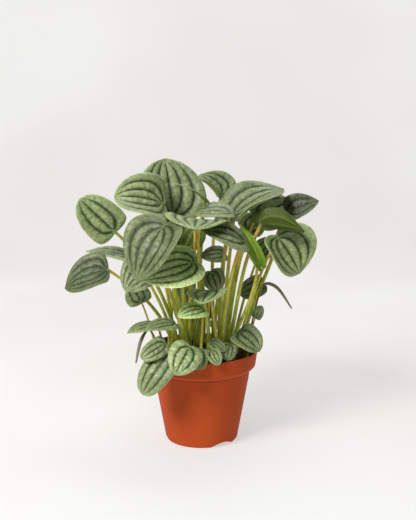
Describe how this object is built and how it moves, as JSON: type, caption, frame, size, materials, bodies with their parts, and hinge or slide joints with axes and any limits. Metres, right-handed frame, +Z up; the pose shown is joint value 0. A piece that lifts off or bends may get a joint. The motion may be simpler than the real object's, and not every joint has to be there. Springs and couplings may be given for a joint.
{
  "type": "potted peperomia",
  "caption": "Bushy potted peperomia: quilted, dark-veined heart-shaped leaves on long arching stems, with young leaves over the rim of a round tapered nursery pot.",
  "frame": {"origin": "middle of the pot's flat underside, on the surface it stands on", "axes": "+Z up the plant, -Y towards the pictured side, +X to the picture's right"},
  "size_m": [0.2643, 0.2246, 0.2992],
  "materials": {
    "pot": "satin",
    "soil": "matte",
    "leaf": "satin",
    "spike": "matte"
  },
  "bodies": {
    "root": {"leaf_back_1": "leaf", "leaf_back_2": "leaf", "leaf_back_3": "leaf", "leaf_back_4": "leaf", "leaf_back_5": "leaf", "leaf_back_6": "leaf", "leaf_back_7": "leaf", "leaf_back_8": "leaf", "leaf_back_9": "leaf", "leaf_front_1": "leaf", "leaf_front_2": "leaf", "leaf_inner_1": "leaf", "leaf_inner_2": "leaf", "leaf_inner_3": "leaf", "leaf_inner_4": "leaf", "leaf_inner_5": "leaf", "leaf_inner_6": "leaf", "leaf_inner_7": "leaf", "leaf_inner_8": "leaf", "leaf_inner_9": "leaf", "leaf_left_1": "leaf", "leaf_left_2": "leaf", "leaf_left_3": "leaf", "leaf_left_4": "leaf", "leaf_left_5": "leaf", "leaf_left_6": "leaf", "leaf_left_7": "leaf", "leaf_left_8": "leaf", "leaf_low_1": "leaf", "leaf_low_2": "leaf", "leaf_low_3": "leaf", "leaf_low_4": "leaf", "leaf_low_5": "leaf", "leaf_low_6": "leaf", "leaf_low_7": "leaf", "leaf_low_8": "leaf", "leaf_right_1": "leaf", "leaf_right_10": "leaf", "leaf_right_2": "leaf", "leaf_right_3": "leaf", "leaf_right_4": "leaf", "leaf_right_5": "leaf", "leaf_right_6": "leaf", "leaf_right_7": "leaf", "leaf_right_8": "leaf", "leaf_right_9": "leaf", "leaf_top_1": "leaf", "leaf_top_2": "leaf", "leaf_top_3": "leaf", "pot": "pot", "soil": "soil", "spike_left": "spike", "spike_right": "spike"}
  },
  "joints": []
}
